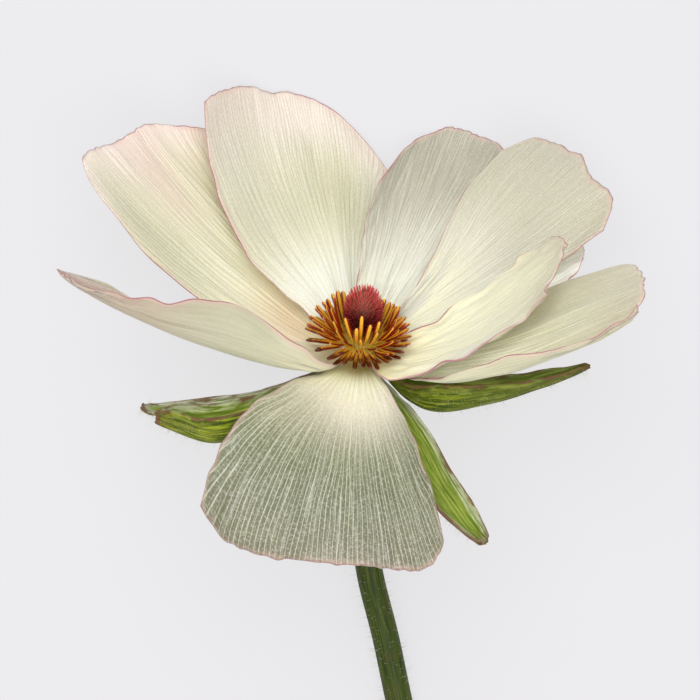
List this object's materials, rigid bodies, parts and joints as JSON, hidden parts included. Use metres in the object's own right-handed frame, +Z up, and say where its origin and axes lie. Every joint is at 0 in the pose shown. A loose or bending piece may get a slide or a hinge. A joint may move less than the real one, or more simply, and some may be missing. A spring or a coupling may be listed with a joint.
{
  "type": "ranunculus flower",
  "caption": "Cut ranunculus bloom on a bent stem, lying on its back: pale open petals, green sepals, a ring of stamens and a carpel head.",
  "frame": {"origin": "centre of the bottom of the bounding box, on the surface that the flower lies on", "axes": "+Z up from that surface, +Y from the cut end of the stem towards the bloom, +X to the right in the picture"},
  "size_m": [0.08, 0.1324, 0.0392],
  "materials": {
    "stem": "satin green stem skin with fine hairs",
    "petal": "thin translucent cream petal with fine fanned veins and a mauve rim",
    "sepal": "veined green sepal with silky inside and brown margin",
    "stamen": "orange anthers with dark red edges",
    "carpel": "dark maroon carpels with pink style tips"
  },
  "bodies": {
    "root": {"stem": "stem", "petal_front": "petal", "petal_left": "petal", "petal_left_back": "petal", "petal_back_left": "petal", "petal_back_right": "petal", "petal_right_back": "petal", "petal_right_outer": "petal", "petal_right_inner": "petal", "petal_right_front": "petal", "sepal_left_rear": "sepal", "sepal_left_front": "sepal", "sepal_right": "sepal", "sepal_front_right": "sepal", "sepal_back": "sepal", "stamens": "stamen", "carpel_head": "carpel"}
  },
  "joints": []
}
